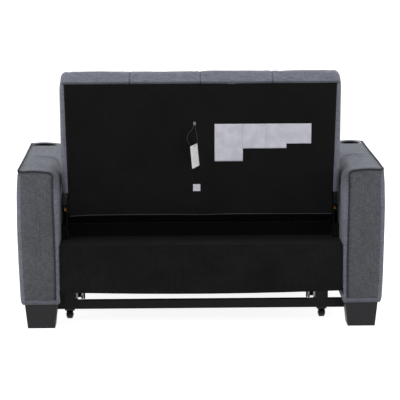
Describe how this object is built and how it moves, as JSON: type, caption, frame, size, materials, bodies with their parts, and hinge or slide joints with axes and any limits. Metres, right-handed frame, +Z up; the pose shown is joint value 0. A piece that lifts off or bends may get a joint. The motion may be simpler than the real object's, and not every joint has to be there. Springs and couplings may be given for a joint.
{
  "type": "sleeper sofa",
  "caption": "Two-seat sleeper sofa with box arms, cup holders, a reclining back, a seat pad that folds forward and a low steel pull-out frame on casters.",
  "frame": {"origin": "on the floor below the middle of the arms", "axes": "+Z up, the seat faces -Y, the sitter's left is +X"},
  "size_m": [1.3068, 0.82, 0.9107],
  "materials": {
    "grey_fabric": "woven, matte",
    "black_nonwoven": "non-woven, matte",
    "strap_webbing": "ribbed webbing",
    "frame_wood": "sawn, unfinished",
    "leg_black": "painted, satin",
    "cup_plastic": "moulded, satin",
    "black_steel": "powder coated, satin",
    "hinge_steel": "black oxide",
    "zinc_steel": "zinc plated",
    "brass": "yellow passivated",
    "caster_plastic": "moulded, satin",
    "wheel_black": "moulded, satin",
    "label_white": "woven satin, blank",
    "seal_grey": "moulded",
    "string_grey": "twisted cord",
    "tag_card": "coated card, blank"
  },
  "bodies": {
    "root": {"arm_pad_left": "grey_fabric", "arm_frame_left": "frame_wood", "cup_holder_left": "cup_plastic", "leg_front_left": "leg_black", "leg_rear_left": "leg_black", "side_board_left": "frame_wood", "recline_leaf_lower_left": "hinge_steel", "slide_channel_left": "zinc_steel", "arm_pad_right": "grey_fabric", "arm_frame_right": "frame_wood", "cup_holder_right": "cup_plastic", "leg_front_right": "leg_black", "leg_rear_right": "leg_black", "side_board_right": "frame_wood", "recline_leaf_lower_right": "hinge_steel", "slide_channel_right": "zinc_steel", "arm_dust_covers": "black_nonwoven", "frame_bolts": "zinc_steel", "rear_rail": "frame_wood", "rear_deck": "frame_wood", "front_deck": "frame_wood", "rail_cover": "black_nonwoven", "seat_pad": "grey_fabric", "fold_leaves_lower": "hinge_steel", "fold_pins": "zinc_steel", "recline_pivots": "brass", "recline_bolts_lower": "hinge_steel", "slide_hangers": "zinc_steel"},
    "seat_flap": {"seat_flap_pad": "grey_fabric", "fold_leaves_upper": "hinge_steel"},
    "backrest": {"back_frame": "frame_wood", "back_cushion": "grey_fabric", "back_cover": "black_nonwoven", "recline_leaf_upper_left": "hinge_steel", "recline_leaf_upper_right": "hinge_steel", "recline_bolts_upper": "brass", "blank_labels": "label_white", "tag_seal": "seal_grey", "tag_string": "string_grey", "hang_tag": "tag_card"},
    "pull_out": {"rear_cross_tube": "black_steel", "front_cross_tube": "black_steel", "side_member_left": "black_steel", "side_member_right": "black_steel", "top_tube_left": "black_steel", "top_tube_right": "black_steel", "uprights": "black_steel", "top_cross_tubes": "black_steel", "slats": "frame_wood", "slide_rail_left": "zinc_steel", "slide_rail_right": "zinc_steel", "front_panel": "frame_wood", "front_panel_pad": "grey_fabric", "pull_strap": "strap_webbing", "caster_forks": "caster_plastic", "caster_axles": "zinc_steel"},
    "wheel_front_left": {"caster_wheel_front_left": "wheel_black"},
    "wheel_front_right": {"caster_wheel_front_right": "wheel_black"},
    "wheel_rear_left": {"caster_wheel_rear_left": "wheel_black"},
    "wheel_rear_right": {"caster_wheel_rear_right": "wheel_black"}
  },
  "joints": [
    {"name": "pull_out_slide", "type": "slide", "parent": "root", "child": "pull_out", "axis": [0, -1, 0], "range_m": [0, 0.47]},
    {"name": "seat_flap_fold", "type": "hinge", "parent": "root", "child": "seat_flap", "pos_m": [0, -0.395, 0.41], "axis": [1, 0, 0], "range_deg": [0, 180]},
    {"name": "back_recline", "type": "hinge", "parent": "root", "child": "backrest", "pos_m": [0, 0.21, 0.4013], "axis": [-1, 0, 0], "range_deg": [-8, 79.6]},
    {"name": "wheel_front_left_spin", "type": "hinge", "parent": "pull_out", "child": "wheel_front_left", "pos_m": [0.479, -0.36, 0.015], "axis": [1, 0, 0], "continuous": true},
    {"name": "wheel_front_right_spin", "type": "hinge", "parent": "pull_out", "child": "wheel_front_right", "pos_m": [-0.443, -0.36, 0.015], "axis": [1, 0, 0], "continuous": true},
    {"name": "wheel_rear_left_spin", "type": "hinge", "parent": "pull_out", "child": "wheel_rear_left", "pos_m": [0.479, 0.21, 0.015], "axis": [1, 0, 0], "continuous": true},
    {"name": "wheel_rear_right_spin", "type": "hinge", "parent": "pull_out", "child": "wheel_rear_right", "pos_m": [-0.443, 0.21, 0.015], "axis": [1, 0, 0], "continuous": true}
  ]
}
